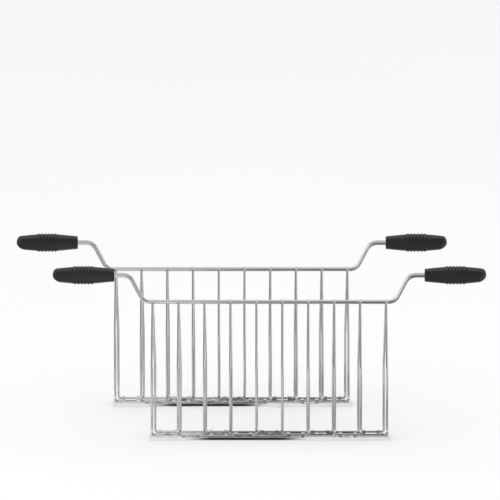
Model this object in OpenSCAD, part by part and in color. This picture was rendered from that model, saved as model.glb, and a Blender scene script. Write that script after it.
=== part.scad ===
// A pair of sandwich racks for a long-slot toaster.
// Each rack is a sheet-steel base strip that carries two wire grids.
// Each grid turns on a row of curled knuckles and ends in half of a split grip.

/* [Grid] */
// Number of upright wires in each grid
wire_count = 10; // [10]
// Spacing of the upright wires where they meet the rail
rail_pitch = 25.85; // [25.4:0.05:26.2]
// Spacing of the front grid's wires over the sandwich and at the base
front_pitch = 26.05; // [25.6:0.05:26.3]
// Spacing of the back grid's wires over the sandwich and at the base
back_pitch = 25.35; // [25:0.05:26.3]
// Diameter of the upright wires
wire_d = 2.4; // [1.8:0.1:2.4]
// Distance from the mid plane to the wires beside the sandwich
belly_y = 11.2; // [11:0.1:11.4]
// Height at which the wires start to lean in towards the rail
waist_z = 73; // [60:1:85]
// Height of the bend above the base
knee_z = 9.5; // [9:0.1:10]

/* [Rail] */
// Diameter of the rail's wire
rail_d = 3.5; // [3.2:0.1:3.8]
// Height of the rail
rail_z = 138.5; // [125:0.1:150]
// Gap between the two rails of a closed rack
rail_gap = 0.3; // [0.2:0.1:0.6]
// Half length of the rail up to its lower bend
rail_bend_x = 125.3; // [122:0.1:127]
// Half length of the rail up to its upper bend
rod_bend_x = 139.3; // [137:0.1:142]
// Height of the rods that the grips sit on
rod_z = 165.6; // [160:0.1:172]
// Distance from the mid plane to the rods in the grips
rod_y = 3.4; // [3.2:0.1:3.6]

/* [Grips] */
// Distance from the rack's middle to the inner end of a grip
grip_start = 154.5; // [152:0.5:158]
// Length of a grip
grip_l = 61.5; // [55:0.5:65]
// Diameter of a grip at both ends
grip_end_d = 13; // [12.5:0.1:14]
// Diameter of a grip in the middle, without its ribs
grip_mid_d = 17.6; // [16:0.1:19]
// Number of ribs round the middle of a grip
rib_count = 6; // [3:1:8]
// Spacing of the ribs
rib_pitch = 3.5; // [3:0.1:4]

/* [Base] */
// Length of the base strip
base_l = 238; // [238:1:244]
// Depth of the base strip from front to back
base_w = 24; // [24:0.5:26]
// Height of the base strip
base_h = 3; // [2.8:0.1:3.2]
// Thickness of the sheet steel
sheet_t = 0.9; // [0.7:0.1:1]
// Distance from the mid plane to each hinge line
hinge_y = 7.3; // [7.1:0.1:7.4]
// Height of the hinge lines
hinge_z = 4.7; // [4.6:0.1:4.8]
// Clearance between a hinge wire and its knuckle, on the radius
hinge_play = 0.08; // [0.04:0.01:0.1]
// Width of a knuckle
knuckle_w = 3.7; // [3:0.1:4]
// Distance from the middle of a hairpin to each of its knuckles
knuckle_x = 7.4; // [6.5:0.1:7.6]
// Length of a stop lip
lip_l = 34; // [28:1:34]

/* [Pair] */
// Distance between the two racks from front to back
rack_step_y = 163; // [160:1:220]
// Distance by which the back rack stands further to the left
rack_step_x = 37.7; // [0:0.1:60]

/* [Hidden] */
$fn = 48;
front = -1;
back = 1;
racks = ["rack_a", "rack_b"];
ends = ["left", "right"];
front_hairpins = wire_count / 2 - 1;
back_hairpins = wire_count / 2;

wire_r = wire_d / 2;
rail_r = rail_d / 2;
rail_y = rail_r + rail_gap / 2;
weld_depth = 0.4;
weld_y = rail_y + rail_r + wire_r - weld_depth;
weld_top_z = rail_z + 1.2;
waist_bend_r = 12;
knee_bend_r = 4;
foot_bend_r = 3;
bend_overlap = 0.15;
bend_swell = 0.02;
pin_l = 9;

lower_rail_bend_r = 11;
upper_rail_bend_r = 11;
rod_end_x = grip_start + grip_l - 9;
grip_press = 0.02;
grip_edge = 0.8;
mid_drop = 0.25;
rib_r = 0.9;
rib_rise = 0.5;

base_edge = 0.3;
knuckle_t = 0.75;
knuckle_bore_r = wire_r + hinge_play;
knuckle_r = knuckle_bore_r + knuckle_t;
window_l = 4.2;
lip_r = 0.8;
lip_y = 10.9;
lip_z = 4.1;
lip_end = base_l / 2 - 1.2;
// The short pins of the end wires turn in knuckles of their own
end_knuckle_x = (wire_count - 1) / 2 * front_pitch - foot_bend_r - knuckle_w / 2 - 0.6;

// Names of the parts, in the order in which they are drawn
function numbered(stem, count) = [for (i = [1 : count]) str(stem, i)];
function sided(stem) = [for (end = ends) str(stem, end)];
function rack_parts(rack) = concat(
    [str(rack, "_base"), str(rack, "_front_rail"), str(rack, "_back_rail")],
    sided(str(rack, "_front_end_wire_")),
    numbered(str(rack, "_front_hairpin_"), front_hairpins),
    numbered(str(rack, "_back_hairpin_"), back_hairpins),
    sided(str(rack, "_front_grip_")),
    sided(str(rack, "_back_grip_"))
);

// Vector helpers
function unit(v) = v / norm(v);
function last(list) = len(list) - 1;
function reversed(list) = [for (i = [last(list) : -1 : 0]) list[i]];
function pitch(side) = side == front ? front_pitch : back_pitch;
function centred(index) = index - (wire_count + 1) / 2;

// Turns local axes x and y, and the z that completes them, into a placement at an origin
function placement(origin, x, y) = let (z = cross(x, y)) [
    [x[0], y[0], z[0], origin[0]],
    [x[1], y[1], z[1], origin[1]],
    [x[2], y[2], z[2], origin[2]],
    [0, 0, 0, 1]
];

// Direction of travel into point i, the angle that the wire turns by there,
// and the length of straight wire that its bend uses up
function travel(p, i) = unit(p[i] - p[i - 1]);
function turn(p, i) = acos(travel(p, i) * travel(p, i + 1));
function tangent(p, radii, i) = radii[i] * tan(turn(p, i) / 2);

// Straight stretch of wire between two points
module straight(from, to, r) {
    along = to - from;
    translate(from)
        rotate([0, acos(along[2] / norm(along)), atan2(along[1], along[0])])
            cylinder(r = r, h = norm(along));
}

// Arc of wire round corner i of a path
module corner(p, radii, i, r) {
    into = travel(p, i);
    out = travel(p, i + 1);
    inward = unit(out - into * (into * out));
    centre = p[i] - into * tangent(p, radii, i) + inward * radii[i];
    multmatrix(placement(centre, -inward, into))
        rotate_extrude(angle = turn(p, i))
            translate([radii[i], 0])
                circle(r = r);
}

// Length that point i takes off the straight wire beside it.
// Straight wire runs a little way into each bend, so that the two make one solid.
function trim(p, radii, i) =
    i == 0 || i == last(p) ? 0 : tangent(p, radii, i) - bend_overlap;

// Wire of radius r along the points p, bent at each inner point.
// A bend is a hair thicker than straight wire, as metal that has been bent is.
module bent_wire(p, radii, r) {
    for (i = [1 : last(p)])
        straight(
            p[i - 1] + travel(p, i) * trim(p, radii, i - 1),
            p[i] - travel(p, i) * trim(p, radii, i),
            r
        );
    for (i = [1 : last(p) - 1]) corner(p, radii, i, r + bend_swell);
}

// Points of one upright wire from the rail down to its hinge line
function leg(side, index) = let (x = centred(index) * pitch(side)) [
    [centred(index) * rail_pitch, side * weld_y, weld_top_z],
    [x, side * belly_y, waist_z],
    [x, side * belly_y, knee_z],
    [x, side * hinge_y, hinge_z]
];
leg_bends = [0, waist_bend_r, knee_bend_r, foot_bend_r];

// Two upright wires joined by the bar that turns in the knuckles
module hairpin(side, first) {
    color("silver")
        bent_wire(
            concat(leg(side, first), reversed(leg(side, first + 1))),
            concat(leg_bends, reversed(leg_bends)),
            wire_r
        );
}

// Single upright wire at an end of the front grid, with a short hinge pin
module end_wire(hand) {
    index = hand < 0 ? 1 : wire_count;
    pin_end = [centred(index) * front_pitch - hand * pin_l, front * hinge_y, hinge_z];
    color("silver")
        bent_wire(
            concat(leg(front, index), [pin_end]),
            concat(leg_bends, [0]),
            wire_r
        );
}

// Top rail of a grid, cranked up at both ends into the rods for the grips
module rail(side) {
    right = [
        [rail_bend_x, side * rail_y, rail_z],
        [rod_bend_x, side * rod_y, rod_z],
        [rod_end_x, side * rod_y, rod_z]
    ];
    left = [for (p = reversed(right)) [-p[0], p[1], p[2]]];
    bends = [lower_rail_bend_r, upper_rail_bend_r, 0];
    color("gainsboro")
        bent_wire(concat(left, right), concat(reversed(bends), bends), rail_r);
}

// Half outline of a grip: its length runs along y and its radius along x
module grip_outline() {
    tip_r = grip_end_d / 2;
    mid_r = grip_mid_d / 2;
    middle = grip_l / 2;
    swell = (rib_count - 1) * rib_pitch / 2;
    difference() {
        union() {
            polygon([
                [0, 0],
                [tip_r - grip_edge, 0],
                [tip_r, grip_edge],
                [mid_r - mid_drop, middle - swell],
                [mid_r, middle],
                [mid_r - mid_drop, middle + swell],
                [tip_r, grip_l - tip_r],
                [0, grip_l - tip_r]
            ]);
            translate([0, grip_l - tip_r]) circle(r = tip_r);
            for (i = [0 : rib_count - 1])
                translate([mid_r + rib_rise - rib_r, middle - swell + i * rib_pitch])
                    circle(r = rib_r);
        }
        translate([-grip_l, -grip_l]) square([grip_l, 3 * grip_l]);
    }
}

// Half of a split grip, pressed on to its rod
module grip(side, hand) {
    root = [hand * grip_start, side * rail_gap / 2, rod_z];
    color([0.07, 0.07, 0.08])
        difference() {
            multmatrix(placement(root, [0, 0, -side * hand], [0, side, 0]))
                rotate_extrude(angle = 180) grip_outline();
            straight(
                [hand * (grip_start - 1), side * rod_y, rod_z],
                [hand * rod_end_x, side * rod_y, rod_z],
                rail_r - grip_press
            );
        }
}

// Outline of the folded strip across one direction, with its top edges bevelled
module strip_outline(width) {
    polygon([
        [-width / 2, 0],
        [width / 2, 0],
        [width / 2, base_h - base_edge],
        [width / 2 - base_edge, base_h],
        [base_edge - width / 2, base_h],
        [-width / 2, base_h - base_edge]
    ]);
}

// Folded strip, open underneath
module strip() {
    difference() {
        intersection() {
            rotate([90, 0, 90])
                linear_extrude(height = base_l + 2, center = true)
                    strip_outline(base_w);
            rotate([90, 0, 0])
                linear_extrude(height = base_w + 2, center = true)
                    strip_outline(base_l);
        }
        translate([sheet_t - base_l / 2, sheet_t - base_w / 2, -1])
            cube([base_l - 2 * sheet_t, base_w - 2 * sheet_t, base_h - sheet_t + 1]);
    }
}

// Window that a knuckle's tab was cut from, on the inner side of its hinge line
module window(side, x) {
    reach = side * (hinge_y - knuckle_r - window_l / 2);
    translate([x, reach, base_h]) cube([knuckle_w, window_l, 4], center = true);
}

// Knuckle: a tab that stands up from the strip and curls round the hinge wire
module knuckle(side, x) {
    multmatrix(placement([x, side * hinge_y, hinge_z], [0, side, 0], [0, 0, 1]))
        linear_extrude(height = knuckle_w, center = true)
            difference() {
                union() {
                    circle(r = knuckle_r);
                    translate([-knuckle_r, base_h - hinge_z - sheet_t / 2])
                        square([knuckle_t, hinge_z - base_h + sheet_t / 2]);
                }
                circle(r = knuckle_bore_r);
            }
}

// Raised lip that the wires' feet come down on when a grid is fully open
module lip(side, x) {
    from = max(x - lip_l / 2, -lip_end);
    to = min(x + lip_l / 2, lip_end);
    straight([from, side * lip_y, lip_z], [to, side * lip_y, lip_z], lip_r);
    for (end = [from, to]) translate([end, side * lip_y, lip_z]) sphere(r = lip_r);
    translate([from, side * lip_y - lip_r, base_h - sheet_t / 2])
        cube([to - from, 2 * lip_r, lip_z - base_h + sheet_t / 2]);
}

// Middle of the bay between one upright wire and the next
function bay(side, first) = (centred(first) + 0.5) * pitch(side);

// Places along a hinge line where knuckles hold it
function knuckle_places(side) = concat(
    [for (first = [side == front ? 2 : 1 : 2 : wire_count - 1])
        each [bay(side, first) - knuckle_x, bay(side, first) + knuckle_x]],
    side == front ? [-end_knuckle_x, end_knuckle_x] : []
);

// Base strip of a rack with both rows of knuckles and stop lips
module base() {
    color("lightgray") {
        difference() {
            strip();
            for (side = [front, back])
                for (x = knuckle_places(side)) window(side, x);
        }
        for (side = [front, back]) {
            for (x = knuckle_places(side)) knuckle(side, x);
            for (first = [side == front ? 1 : 2 : 2 : wire_count - 1])
                lip(side, bay(side, first));
        }
    }
}

// Every part of one rack
module rack(name) {
    base();
    rail(front);
    rail(back);
    for (hand = [-1, 1]) {
        end = hand < 0 ? ends[0] : ends[1];
        end_wire(hand);
        grip(front, hand);
        grip(back, hand);
    }
    for (i = [1 : front_hairpins])
        hairpin(front, 2 * i);
    for (i = [1 : back_hairpins])
        hairpin(back, 2 * i - 1);
}

translate([rack_step_x / 2, -rack_step_y / 2, 0]) rack(racks[0]);
translate([-rack_step_x / 2, rack_step_y / 2, 0]) rack(racks[1]);
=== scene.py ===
"""A set of two sandwich racks for a long-slot toaster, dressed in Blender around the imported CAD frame.

Units are metres. X runs along the racks, Y from the front rack to the back rack, Z up.
"""
import math

import bmesh
import bpy
from mathutils import Matrix, Vector


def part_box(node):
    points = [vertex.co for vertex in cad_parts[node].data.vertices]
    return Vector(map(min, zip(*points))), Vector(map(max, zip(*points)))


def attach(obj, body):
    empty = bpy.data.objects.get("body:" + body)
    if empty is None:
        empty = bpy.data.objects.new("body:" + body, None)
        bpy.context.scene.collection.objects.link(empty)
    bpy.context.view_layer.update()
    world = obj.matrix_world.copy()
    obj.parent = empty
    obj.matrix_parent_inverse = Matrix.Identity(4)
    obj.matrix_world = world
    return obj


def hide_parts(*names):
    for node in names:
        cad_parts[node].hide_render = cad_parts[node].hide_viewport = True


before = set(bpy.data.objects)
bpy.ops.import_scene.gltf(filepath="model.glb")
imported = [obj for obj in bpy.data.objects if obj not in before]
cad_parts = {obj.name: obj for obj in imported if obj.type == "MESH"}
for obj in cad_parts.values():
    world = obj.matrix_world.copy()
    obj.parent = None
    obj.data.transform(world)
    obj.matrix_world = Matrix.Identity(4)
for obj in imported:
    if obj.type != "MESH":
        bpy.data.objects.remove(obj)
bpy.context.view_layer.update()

RACKS = ("rack_a", "rack_b")
SIDES = ("front", "back")
ENDS = ("left", "right")
# Way along Y that each grid faces
OUTWARD = {"front": -1, "back": 1}

# ------------------------------------------------------------- camera settings

ELEVATION = math.radians(11.5)
DISTANCE = 20.0
CLIP_END = 100.0
SENSOR = 36.0
# Width that the picture takes in, and the point at its middle
FIELD_WIDTH = 0.500
AIM = (-0.00055, 0.0, 0.17465)

# ------------------------------------------------------------- studio settings

FLOOR_SIZE = 60.0
FLOOR_TONE = 0.93
FLOOR_MOTTLE = 0.02
ROOM_LIGHT = 0.97
LIGHT_AIM = (0.0, 0.0, 0.08)
# Each softbox: its name, place, width and depth, and power in watts
SOFTBOXES = (
    ("key_softbox", (-0.9, -0.9, 1.5), (0.9, 0.9), 2.4),
    ("top_softbox", (0.3, 0.3, 1.8), (1.6, 1.6), 2.5),
)

# Brightness of what polished metal mirrors, as a share of white
MIRROR_BLACK = 0.012
MIRROR_DARK = 0.2
MIRROR_DIM = 0.22
MIRROR_WHITE = 1.0
MIRROR_REAR = 0.75

# Mirrored room: the directions between which each bright area fades, and how bright it is
LEFT_BOX = (-0.8, -0.5)
RIGHT_BOX = (0.6, 0.9)
RIGHT_BOX_LEVEL = 0.7
TOP_BOX = (0.4, 0.9)
TOP_BOX_LEVEL = 0.8
TOP_BOX_TILT = 0.5
REAR_WALL = (0.3, 0.9)

# Mirrored floor: a dark fan to the right of a slanting line, dark far to the left, paler behind the racks
STREAK_X = -0.0274
STREAK_SLOPE = -0.2313
FAN_LEFT = 0.0
FAN_RIGHT = 0.30
FAN_BLUR = 0.06
FAR_LEFT_X = -0.24
REAR_Y = (0.10, 0.30)
# Near each rack the floor is an even mid grey
NEAR_LEVEL = 0.42
NEAR_SHARE = 0.8
NEAR_DEPTH = 0.13
NEAR_BLUR = 0.03
# Before each base: a strip that is black round the slanting line, and a bright line along the base's foot
STREAK_CORE = 0.034
STREAK_EDGE = 0.064
STRIP_DEPTH = 0.018
FOOT_LINE = 0.0016
LINE_BLUR = 0.001

# Black card far behind the racks, which the flat tops of the bases mirror. It leans as the racks are set.
BACK_CARD_Y = 0.6
BACK_CARD_HALF = 0.058
# Card in front of the racks, white from its left end to the middle value and dark from there on
CARD_X = (-0.24, -0.045, 0.30)
CARD_Y = -0.55
CARD_Z = (0.07, 0.50)
CARD_BLUR = 0.05
CARD_DARK = 0.05

# ----------------------------------------------------------- material settings

# Noise scales are per metre and depths are in metres
MOST_OF_NOISE = (0.3, 0.7)

UPRIGHT_GRAIN = (2500.0, 2500.0, 40.0)
LENGTHWAYS_GRAIN = (40.0, 2500.0, 2500.0)
LINE_DEPTH = 0.00002
HAZE_SCALE = 90.0
HAZED_TONE = 0.88
PIT_SCALE = 2600.0
PIT_RANGE = (0.70, 0.78)
PIT_DEPTH = 0.00003
PITTED_TONE = 0.55
RIPPLE_SCALE = (55.0, 90.0, 90.0)

WELD_TONE = 0.66
WELD_STRAW = (0.5, 0.47, 0.43, 1.0)
WELD_TINT_SCALE = 260.0
WELD_GRAIN_SCALE = 1400.0
WELD_GRAIN_DEPTH = 0.00006

PLASTIC_BLACK = (0.0085, 0.0095, 0.0135, 1.0)
PLASTIC_PALER = (0.014, 0.0155, 0.0205, 1.0)
PLASTIC_SCUFFED = (0.05, 0.051, 0.054, 1.0)
PLASTIC_WORN = (0.06, 0.062, 0.068, 1.0)
# Near-black colour of the painted shade laid into the grooves between the grip's ribs
PLASTIC_GROOVE_SHADE = (0.002, 0.002, 0.003, 1.0)
PATCH_SCALE = 70.0
SPARK_SCALE = 3200.0
SPARK_DEPTH = 0.00008
SCRATCH_SCALE = (60.0, 900.0, 1500.0)
SCRATCH_RANGE = (0.66, 0.76)
SCRATCH_DEPTH = 0.00004

# --------------------------------------------------------------- node helpers


def grey(value):
    return (value, value, value, 1.0)


def steel(value):
    """Slightly blue grey of bright plated steel."""
    return (value, value * 1.018, value * 1.05, 1.0)


class Nodes:
    """A short way to write one node tree."""

    def __init__(self, tree):
        self.tree = tree
        self.tree.nodes.clear()

    def add(self, kind, inputs=None, **settings):
        node = self.tree.nodes.new(kind)
        for name, value in settings.items():
            setattr(node, name, value)
        for name, value in (inputs or {}).items():
            self.feed(node.inputs[name], value)
        return node

    def feed(self, socket, value):
        if isinstance(value, bpy.types.NodeSocket):
            self.tree.links.new(value, socket)
        else:
            socket.default_value = value

    def surface(self, shader, kind="ShaderNodeOutputMaterial"):
        """Makes this shader the tree's result."""
        self.add(kind, {"Surface": shader})

    def place(self):
        return self.add("ShaderNodeTexCoord").outputs["Object"]

    def attribute(self, name):
        return self.add("ShaderNodeAttribute", attribute_name=name).outputs["Fac"]

    def noise(self, vector, scale, detail=4.0, roughness=0.55):
        node = self.add(
            "ShaderNodeTexNoise",
            {"Vector": vector, "Scale": scale, "Detail": detail, "Roughness": roughness},
        )
        return node.outputs["Fac"]

    def stretched(self, vector, scale):
        node = self.add("ShaderNodeMapping", {"Vector": vector, "Scale": scale})
        return node.outputs["Vector"]

    def between(self, value, low, high, to_low, to_high, smooth=False):
        """Value from the range low..high, carried to the range to_low..to_high."""
        node = self.add(
            "ShaderNodeMapRange",
            {
                "Value": value,
                "From Min": low,
                "From Max": high,
                "To Min": to_low,
                "To Max": to_high,
            },
            interpolation_type="SMOOTHSTEP" if smooth else "LINEAR",
        )
        return node.outputs["Result"]

    def band(self, value, low, high, blur):
        """One between low and high, nothing outside, with soft edges."""
        rise = self.between(value, low - blur, low + blur, 0.0, 1.0, smooth=True)
        fall = self.between(value, high - blur, high + blur, 1.0, 0.0, smooth=True)
        return self.maths("MULTIPLY", rise, fall)

    def maths(self, operation, a, b=0.0):
        node = self.add("ShaderNodeMath", {0: a, 1: b}, operation=operation)
        return node.outputs["Value"]

    def multiply_add(self, a, factor, extra):
        node = self.add("ShaderNodeMath", {0: a, 1: factor, 2: extra}, operation="MULTIPLY_ADD")
        return node.outputs["Value"]

    # A Mix node has its own sockets for each kind of data: 2 and 3 take numbers, 6 and 7 take colours
    def mix_values(self, amount, a, b):
        node = self.add("ShaderNodeMix", {0: amount, 2: a, 3: b}, data_type="FLOAT")
        return node.outputs[0]

    def blend(self, amount, a, b):
        node = self.add("ShaderNodeMix", {0: amount, 6: a, 7: b}, data_type="RGBA")
        return node.outputs[2]

    def bump(self, height, distance, strength=1.0, normal=None):
        inputs = {"Height": height, "Distance": distance, "Strength": strength}
        if normal is not None:
            inputs["Normal"] = normal
        return self.add("ShaderNodeBump", inputs).outputs["Normal"]

    def principled(self, inputs):
        return self.add("ShaderNodeBsdfPrincipled", inputs).outputs["BSDF"]

    def glow(self, level):
        node = self.add("ShaderNodeEmission", {"Color": grey(1.0), "Strength": level})
        return node.outputs["Emission"]


def new_material(name):
    material = bpy.data.materials.new(name)
    material.use_nodes = True
    return material, Nodes(material.node_tree)


# ------------------------------------------------------------------- materials


def chrome(name, grain, tone, ripple=0.0, haze_range=(0.06, 0.14)):
    """Bright chrome plate over drawn or rolled steel. grain stretches its fine lines along the metal."""
    material, n = new_material(name)
    place = n.place()
    lines = n.noise(n.stretched(place, grain), 1.0, detail=3.0)
    haze = n.noise(place, HAZE_SCALE, detail=5.0, roughness=0.65)
    pits = n.between(n.noise(place, PIT_SCALE, detail=2.0), *PIT_RANGE, 0.0, 1.0, smooth=True)
    clean = n.blend(n.between(haze, 0.35, 0.7, 0.0, 1.0), steel(tone), steel(tone * HAZED_TONE))
    colour = n.blend(pits, clean, steel(tone * PITTED_TONE))
    smudged = n.between(haze, 0.3, 0.75, *haze_range)
    roughness = n.maths("ADD", smudged, n.between(lines, *MOST_OF_NOISE, -0.02, 0.05))
    normal = n.bump(lines, LINE_DEPTH, 0.5)
    normal = n.bump(pits, -PIT_DEPTH, 0.4, normal)
    if ripple:
        waves = n.noise(n.stretched(place, RIPPLE_SCALE), 1.0, detail=1.5)
        normal = n.bump(waves, ripple, 1.0, normal)
    n.surface(
        n.principled({"Base Color": colour, "Metallic": 1.0, "Roughness": roughness, "Normal": normal})
    )
    return material


def weld_metal(name):
    """Heat-tinted, slightly rough steel round a spot weld."""
    material, n = new_material(name)
    place = n.place()
    grain = n.noise(place, WELD_GRAIN_SCALE, detail=4.0)
    tint = n.noise(place, WELD_TINT_SCALE, detail=2.0)
    colour = n.blend(n.between(tint, 0.35, 0.65, 0.0, 1.0), steel(WELD_TONE), WELD_STRAW)
    roughness = n.between(grain, *MOST_OF_NOISE, 0.2, 0.4)
    normal = n.bump(grain, WELD_GRAIN_DEPTH, 0.6)
    n.surface(
        n.principled({"Base Color": colour, "Metallic": 1.0, "Roughness": roughness, "Normal": normal})
    )
    return material


def grip_plastic(name):
    """Black moulded plastic: fine spark grain, faint scuffs, paler worn high spots, and painted shade that
    darkens the grooves.
    """
    material, n = new_material(name)
    place = n.place()
    grain = n.noise(place, SPARK_SCALE, detail=3.0, roughness=0.6)
    patches = n.noise(place, PATCH_SCALE, detail=4.0)
    scratches = n.noise(n.stretched(place, SCRATCH_SCALE), 1.0, detail=3.0)
    scuffs = n.between(scratches, *SCRATCH_RANGE, 0.0, 0.5, smooth=True)
    worn = n.maths("MULTIPLY", n.attribute("wear"), n.between(patches, 0.35, 0.6, 0.3, 1.0))
    groove_shade = n.attribute("groove_shade")
    colour = n.blend(n.between(patches, *MOST_OF_NOISE, 0.0, 1.0), PLASTIC_BLACK, PLASTIC_PALER)
    colour = n.blend(n.maths("MULTIPLY", scuffs, 0.5), colour, PLASTIC_SCUFFED)
    colour = n.blend(n.maths("MULTIPLY", worn, 0.45), colour, PLASTIC_WORN)
    # Painted shade: the grooves between the ribs are darkened towards near black
    colour = n.blend(n.maths("MULTIPLY", groove_shade, 0.85), colour, PLASTIC_GROOVE_SHADE)
    roughness = n.between(patches, *MOST_OF_NOISE, 0.40, 0.52)
    roughness = n.maths("SUBTRACT", roughness, n.maths("MULTIPLY", worn, 0.12))
    roughness = n.maths("ADD", roughness, n.maths("MULTIPLY", groove_shade, 0.3))
    normal = n.bump(grain, SPARK_DEPTH, 0.5)
    normal = n.bump(scuffs, -SCRATCH_DEPTH, 0.4, normal)
    n.surface(
        n.principled({"Base Color": colour, "Roughness": roughness, "IOR": 1.5, "Normal": normal})
    )
    return material


def mirrored_floor(n, place):
    """Brightness of the floor as polished metal mirrors it."""
    split = n.add("ShaderNodeSeparateXYZ", {0: place}).outputs
    across = n.maths("SUBTRACT", split["X"], n.multiply_add(split["Y"], STREAK_SLOPE, STREAK_X))
    left = n.between(across, FAN_LEFT - FAN_BLUR, FAN_LEFT + FAN_BLUR, 1.0, 0.0, smooth=True)
    right = n.between(across, FAN_RIGHT - FAN_BLUR, FAN_RIGHT + FAN_BLUR, 0.0, 1.0, smooth=True)
    level = n.between(n.maths("ADD", left, right), 0.0, 1.0, MIRROR_DARK, MIRROR_WHITE)
    to_rear = n.between(split["Y"], *REAR_Y, 0.0, 1.0, smooth=True)
    level = n.mix_values(to_rear, level, MIRROR_REAR)
    to_left = n.between(split["X"], FAR_LEFT_X - FAN_BLUR, FAR_LEFT_X + FAN_BLUR, 1.0, 0.0, smooth=True)
    level = n.mix_values(to_left, level, MIRROR_DARK)
    streak = n.between(
        n.maths("ABSOLUTE", across), STREAK_CORE, STREAK_EDGE, MIRROR_BLACK, MIRROR_WHITE, smooth=True
    )
    for rack in RACKS:
        ahead = n.maths("SUBTRACT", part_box(f"{rack}_base")[0].y, split["Y"])
        near = n.maths("MULTIPLY", n.band(ahead, 0.0, NEAR_DEPTH, NEAR_BLUR), NEAR_SHARE)
        level = n.mix_values(near, level, NEAR_LEVEL)
        on_strip = n.band(ahead, FOOT_LINE / 2, STRIP_DEPTH, LINE_BLUR)
        level = n.mix_values(on_strip, level, streak)
        on_line = n.band(ahead, -FOOT_LINE, FOOT_LINE, LINE_BLUR)
        level = n.mix_values(on_line, level, MIRROR_WHITE)
    return level


def seen_or_mirrored(n, seen, mirrored):
    """One shader for the camera and for dull surfaces, and another for what polished metal mirrors."""
    path = n.add("ShaderNodeLightPath").outputs["Is Glossy Ray"]
    return n.add("ShaderNodeMixShader", {0: path, 1: seen, 2: mirrored}).outputs["Shader"]


def floor_paint(name):
    """Plain pale studio floor. Reflections see it with the studio's dark and light areas on it."""
    material, n = new_material(name)
    place = n.place()
    mottle = n.noise(place, 3.0, detail=2.0)
    colour = n.blend(mottle, grey(FLOOR_TONE), grey(FLOOR_TONE + FLOOR_MOTTLE))
    paint = n.principled({"Base Color": colour, "Roughness": 0.8, "Specular IOR Level": 0.1})
    n.surface(seen_or_mirrored(n, paint, n.glow(mirrored_floor(n, place))))
    return material


def plain_glow(name, level):
    material, n = new_material(name)
    n.surface(n.glow(level))
    return material


def two_tone_glow(name):
    """Glow of the front card, white at its left and dark at its right."""
    material, n = new_material(name)
    x = n.add("ShaderNodeSeparateXYZ", {0: n.place()}).outputs["X"]
    change = CARD_X[1]
    level = n.between(
        x, change - CARD_BLUR, change + CARD_BLUR, MIRROR_WHITE, CARD_DARK, smooth=True
    )
    n.surface(n.glow(level))
    return material


wire_chrome = chrome("chrome_on_wire", UPRIGHT_GRAIN, tone=0.79)
rail_chrome = chrome("chrome_on_rail", LENGTHWAYS_GRAIN, tone=0.72)
base_chrome = chrome("chrome_on_sheet", LENGTHWAYS_GRAIN, tone=0.78, ripple=0.0001, haze_range=(0.04, 0.09))
weld_steel = weld_metal("weld_steel")
black_plastic = grip_plastic("black_grip_plastic")

# -------------------------------------------------------------- piece helpers


def paint_with(piece, material):
    piece.data.materials.clear()
    piece.data.materials.append(material)


def object_from(name, mesh):
    """Object made of an edited mesh, which is freed."""
    data = bpy.data.meshes.new(name)
    mesh.to_mesh(data)
    mesh.free()
    made = bpy.data.objects.new(name, data)
    bpy.context.scene.collection.objects.link(made)
    return made


def smooth_by_angle(piece, degrees):
    """Smooth shading, with edges sharper than this angle kept crisp."""
    data = piece.data
    for polygon in data.polygons:
        polygon.use_smooth = True
    mesh = bmesh.new()
    mesh.from_mesh(data)
    limit = math.radians(degrees)
    for edge in mesh.edges:
        edge.smooth = not (len(edge.link_faces) == 2 and edge.calc_face_angle(0.0) > limit)
    mesh.to_mesh(data)
    mesh.free()


# ------------------------------------------------------------------ CAD pieces


def dress_cad_nodes():
    """Gives each CAD node that stays visible its own material."""
    for name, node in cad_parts.items():
        if "grip" in name:
            continue
        if name.endswith("_base"):
            paint_with(node, base_chrome)
        elif name.endswith("_rail"):
            paint_with(node, rail_chrome)
        else:
            paint_with(node, wire_chrome)


dress_cad_nodes()

# ----------------------------------------------------------------------- grips

# Rings along a grip and steps round one half. The last ring stops just short of the tip, so it stays open.
GRIP_STEPS = 260
GRIP_AROUND = 56
LAST_RING = 0.9995
GRIP_CREASE = 38

GRIP_END_R = 0.0066
GRIP_MID_R = 0.0086
# Shares of a circle and of an octagon in the section
CIRCLE_SHARE = 0.2
OCTAGON_SHARE = 0.8
# Along the grip, as shares of its length: where the body starts and stops swelling, and over what stretch
SWELL_FROM = 0.02
SWELL_TO = 0.98
SWELL_STRETCH = 0.36
SWELL_BULGE = 0.12

GRIP_RIBS = 6
RIB_PITCH = 0.0034
RIB_RISE = 0.0009
RIB_HALF = 0.0012
# Heights as shares of the radius: where the ribs start, how fast they rise, how fast they slant aside
RIB_FROM = 0.5
RIB_FADE = 0.25
RIB_SLANT = 0.35

INNER_ROUND_L = 0.0009
INNER_ROUND_SHARE = 0.12
TIP_ABOVE_L = 0.0046
TIP_BELOW_L = 0.0072
# Power of the tip's curve above, and how much lower it is below
TIP_POWER = 2.4
TIP_POWER_DROP = 0.8


def facet_radius(angle):
    """Radius of a softly faceted octagon at an angle, with one of its edges facing out."""
    step = math.pi / 4
    off = (angle % step) - step / 2
    sharp = math.cos(step / 2) / math.cos(off)
    return CIRCLE_SHARE + OCTAGON_SHARE * sharp


def swell(u):
    """Radius of the grip's body at u, from 0 at its inner end to 1 at its tip."""
    from_end = min(max(u - SWELL_FROM, 0.0), max(SWELL_TO - u, 0.0))
    slope = min(from_end / SWELL_STRETCH, 1.0)
    eased = slope + SWELL_BULGE * math.sin(math.pi * slope) * slope
    return GRIP_END_R + (GRIP_MID_R - GRIP_END_R) * min(eased, 1.0)


def rib(distance):
    """Height of one rib's section at a distance from its middle."""
    if abs(distance) >= RIB_HALF:
        return 0.0
    return RIB_RISE * math.cos(math.pi / 2 * distance / RIB_HALF)


def rib_reach(angle):
    """How much of a rib stands at an angle: all of it at top and bottom, none on the plain face."""
    return min(max((abs(math.sin(angle)) - RIB_FROM) / RIB_FADE, 0.0), 1.0)


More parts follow.
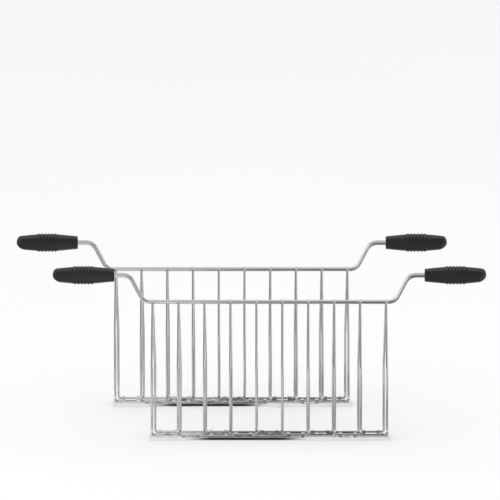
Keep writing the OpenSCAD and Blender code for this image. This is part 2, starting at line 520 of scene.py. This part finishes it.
def ribs_height(x, middle, angle):
    """Height of the ribs. Each one parts into two slanting ribs below, which cross their neighbours."""
    aside = 0.5 * RIB_PITCH * (1 + math.sin(angle)) / RIB_SLANT if angle < 0 else 0.0
    height = 0.0
    for j in range(GRIP_RIBS):
        from_rib = x - middle - (j - (GRIP_RIBS - 1) / 2) * RIB_PITCH
        height = max(height, rib(from_rib - aside), rib(from_rib + aside))
    return height * rib_reach(angle)


def painted_groove_shade(x, middle, angle):
    """Amount of painted shade: one down in a groove between the ribs, nothing on a rib or on the plain body.
    """
    beyond = abs(x - middle) - (GRIP_RIBS + 1) / 2 * RIB_PITCH
    if beyond > 0:
        return 0.0
    on_rib = ribs_height(x, middle, angle) / RIB_RISE
    return rib_reach(angle) * min(-beyond / RIB_PITCH, 1.0) * (1.0 - min(2.0 * on_rib, 1.0))


def end_factor(x, length, angle):
    """Rounds the inner end a little and the tip a lot, and cuts the tip's lower corner away."""
    if x < INNER_ROUND_L:
        return 1.0 - INNER_ROUND_SHARE * (1.0 - x / INNER_ROUND_L) ** 2
    lower = 0.5 - 0.5 * math.sin(angle)
    tip = TIP_ABOVE_L + (TIP_BELOW_L - TIP_ABOVE_L) * lower
    if x > length - tip:
        t = (x - (length - tip)) / tip
        return math.sqrt(max(1.0 - t ** (TIP_POWER - TIP_POWER_DROP * lower), 0.0))
    return 1.0


def grip_radius(x, length, angle):
    body = swell(x / length) * facet_radius(angle) + ribs_height(x, length / 2, angle)
    return body * end_factor(x, length, angle)


def rail_middle(body):
    low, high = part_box(body.replace("_grid", "_rail"))
    return (low[0] + high[0]) / 2


def add_grip_rings(mesh, length, to_place):
    """Rings of vertices along half a grip, from straight down to straight up, with their wear and the painted
    shade in their grooves.
    """
    wear = mesh.verts.layers.float.new("wear")
    groove_shade = mesh.verts.layers.float.new("groove_shade")
    rings = []
    for i in range(GRIP_STEPS + 1):
        x = length * min(i / GRIP_STEPS, LAST_RING)
        ring = []
        for k in range(GRIP_AROUND + 1):
            angle = -math.pi / 2 + math.pi * k / GRIP_AROUND
            r = grip_radius(x, length, angle)
            vert = mesh.verts.new(to_place(x, max(r * math.cos(angle), 0.0), r * math.sin(angle)))
            vert[wear] = ribs_height(x, length / 2, angle) / RIB_RISE
            # Mask of the painted shade in the grooves between the ribs
            vert[groove_shade] = painted_groove_shade(x, length / 2, angle)
            ring.append(vert)
        rings.append(ring)
    return rings


def close_grip(mesh, rings):
    """Skin over the rings, the flat face where the halves meet, and both ends."""
    for a, b in zip(rings, rings[1:]):
        for k in range(GRIP_AROUND):
            mesh.faces.new((a[k], a[k + 1], b[k + 1], b[k]))
        mesh.faces.new((a[-1], a[0], b[0], b[-1]))
    mesh.faces.new(rings[0])
    mesh.faces.new(rings[-1])
    bmesh.ops.recalc_face_normals(mesh, faces=mesh.faces)


def grip_half(name, body, node, side):
    """One half of a split grip, in the space of its CAD node."""
    low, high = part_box(node)
    hand = 1 if (low[0] + high[0]) / 2 > rail_middle(body) else -1
    inner = low[0] if hand > 0 else high[0]
    split = high[1] if side == "front" else low[1]
    height = (low[2] + high[2]) / 2

    def to_place(x, out, up):
        return Vector((inner + hand * x, split + OUTWARD[side] * out, height + up))

    mesh = bmesh.new()
    close_grip(mesh, add_grip_rings(mesh, high[0] - low[0], to_place))
    piece = object_from(name, mesh)
    smooth_by_angle(piece, GRIP_CREASE)
    paint_with(piece, black_plastic)
    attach(piece, body)
    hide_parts(node)


for rack in RACKS:
    for side in SIDES:
        for end in ENDS:
            grip_half(
                f"{rack}_{side}_{end}_ribbed_grip",
                f"{rack}_{side}_grid",
                f"{rack}_{side}_grip_{end}",
                side,
            )

# ----------------------------------------------------------------------- welds

WIRE_R = 0.0012
# Metal squeezed out between wire and rail: its place in and down from the wire's top, and its half sizes
SEAM_IN = 0.85 * WIRE_R
SEAM_DOWN = 0.0013
SEAM_SIZE = (1.4 * WIRE_R, 0.5 * WIRE_R, 0.0010)
# Rounded cap on the wire's top end
CAP_DOWN = 0.0001
CAP_SIZE = (WIRE_R, WIRE_R, 0.0005)
WELD_CREASE = 60
# Height of the slice that counts as a wire's top, and the least gap between two wires
TOP_SLICE = 0.0005
WIRE_GAP = 0.01


def add_blob(mesh, centre, size):
    """A small flattened ball of metal."""
    matrix = Matrix.Translation(centre) @ Matrix.Diagonal((*size, 1.0))
    bmesh.ops.create_icosphere(mesh, subdivisions=3, radius=1.0, matrix=matrix)


def node_tops(node):
    """Middle of each wire's top end in one node, which holds one wire or two."""
    points = [v.co for v in node.data.vertices]
    top = max(p.z for p in points)
    near_top = sorted((p.copy() for p in points if p.z > top - TOP_SLICE), key=lambda p: p.x)
    groups = [[near_top[0]]]
    for p in near_top[1:]:
        if p.x - groups[-1][-1].x > WIRE_GAP:
            groups.append([])
        groups[-1].append(p)
    return [sum(group, Vector()) / len(group) for group in groups]


def upright_tops(rack, side):
    """Place of each upright wire's top end on its rail."""
    tops = []
    for name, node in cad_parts.items():
        upright = "hairpin" in name or "end_wire" in name
        if upright and name.startswith(f"{rack}_{side}_"):
            tops += node_tops(node)
    return sorted(tops, key=lambda p: p.x)


def weld_row(rack, side):
    """Weld metal where each upright wire meets its rail."""
    mesh = bmesh.new()
    for top in upright_tops(rack, side):
        seam = Vector((top.x, top.y - OUTWARD[side] * SEAM_IN, top.z - SEAM_DOWN))
        add_blob(mesh, seam, SEAM_SIZE)
        add_blob(mesh, top - Vector((0, 0, CAP_DOWN)), CAP_SIZE)
    piece = object_from(f"{rack}_{side}_welds", mesh)
    smooth_by_angle(piece, WELD_CREASE)
    paint_with(piece, weld_steel)
    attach(piece, f"{rack}_{side}_grid")


for rack in RACKS:
    for side in SIDES:
        weld_row(rack, side)

# ----------------------------------------------------------------------- stage


def build_floor():
    bpy.ops.mesh.primitive_plane_add(size=FLOOR_SIZE, location=(0.0, 0.0, 0.0))
    floor = bpy.context.object
    floor.name = "studio_floor"
    paint_with(floor, floor_paint("pale_floor"))


def build_world():
    """Even room light for the camera and for dull surfaces, and a studio for the metal to mirror."""
    world = bpy.data.worlds.new("studio")
    bpy.context.scene.world = world
    world.use_nodes = True
    n = Nodes(world.node_tree)
    way = n.add("ShaderNodeTexCoord").outputs["Generated"]
    split = n.add("ShaderNodeSeparateXYZ", {0: way}).outputs
    overhead = n.multiply_add(split["Y"], TOP_BOX_TILT, split["Z"])
    bright_areas = (
        n.between(split["X"], *LEFT_BOX, MIRROR_WHITE, 0.0, smooth=True),
        n.between(split["X"], *RIGHT_BOX, 0.0, RIGHT_BOX_LEVEL, smooth=True),
        n.between(overhead, *TOP_BOX, 0.0, TOP_BOX_LEVEL, smooth=True),
        n.between(split["Y"], *REAR_WALL, 0.0, MIRROR_WHITE, smooth=True),
    )
    level = MIRROR_DIM
    for area in bright_areas:
        level = n.maths("MAXIMUM", area, level)
    mirrored = n.add("ShaderNodeBackground", {"Color": grey(1.0), "Strength": level})
    even = n.add("ShaderNodeBackground", {"Color": grey(1.0), "Strength": ROOM_LIGHT})
    n.surface(seen_or_mirrored(n, even.outputs[0], mirrored.outputs[0]), "ShaderNodeOutputWorld")


def add_card(name, corners, material):
    """Card that only polished surfaces see."""
    mesh = bmesh.new()
    mesh.faces.new([mesh.verts.new(p) for p in corners])
    card = object_from(name, mesh)
    paint_with(card, material)
    card.visible_camera = False
    card.visible_diffuse = False
    card.visible_shadow = False
    card.visible_transmission = False


def add_front_card():
    left, right = CARD_X[0], CARD_X[2]
    bottom, top = CARD_Z
    corners = [(left, CARD_Y, bottom), (right, CARD_Y, bottom), (right, CARD_Y, top), (left, CARD_Y, top)]
    add_card("two_tone_card", corners, two_tone_glow("card_glow"))


def mirror_spot(rack):
    """Place on the back card that the camera sees in the middle of a base's flat top."""
    low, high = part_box(f"{rack}_base")
    middle = (low + high) / 2
    rise = (BACK_CARD_Y - middle.y) * math.tan(ELEVATION)
    return Vector((STREAK_X + STREAK_SLOPE * low.y, BACK_CARD_Y, high.z + rise))


def add_back_card():
    """Leaning card through both mirror spots, half their distance longer at each end."""
    upper, lower = (mirror_spot(rack) for rack in RACKS)
    lean = upper - lower
    top, bottom = upper + 0.5 * lean, lower - 0.5 * lean
    half = Vector((BACK_CARD_HALF, 0.0, 0.0))
    corners = (top - half, top + half, bottom + half, bottom - half)
    add_card("black_card", corners, plain_glow("card_black", MIRROR_BLACK))


def add_softbox(name, place, size, watts):
    """Soft lamp aimed at the racks. Polished metal doesn't mirror it."""
    light = bpy.data.lights.new(name, "AREA")
    light.shape = "RECTANGLE"
    light.size, light.size_y = size
    light.energy = watts
    lamp = bpy.data.objects.new(name, light)
    lamp.location = place
    lamp.rotation_mode = "QUATERNION"
    lamp.rotation_quaternion = (Vector(LIGHT_AIM) - Vector(place)).to_track_quat("-Z", "Y")
    lamp.visible_glossy = False
    bpy.context.scene.collection.objects.link(lamp)


def build_camera():
    data = bpy.data.cameras.new("camera")
    data.sensor_width = SENSOR
    data.lens = SENSOR * DISTANCE / FIELD_WIDTH
    data.clip_end = CLIP_END
    camera = bpy.data.objects.new("camera", data)
    back = Vector((0.0, -math.cos(ELEVATION), math.sin(ELEVATION)))
    camera.location = Vector(AIM) + back * DISTANCE
    camera.rotation_mode = "QUATERNION"
    camera.rotation_quaternion = (-back).to_track_quat("-Z", "Y")
    bpy.context.scene.collection.objects.link(camera)
    bpy.context.scene.camera = camera


build_floor()
build_world()
add_front_card()
add_back_card()
for softbox in SOFTBOXES:
    add_softbox(*softbox)
build_camera()
bpy.context.scene.view_settings.view_transform = "Standard"
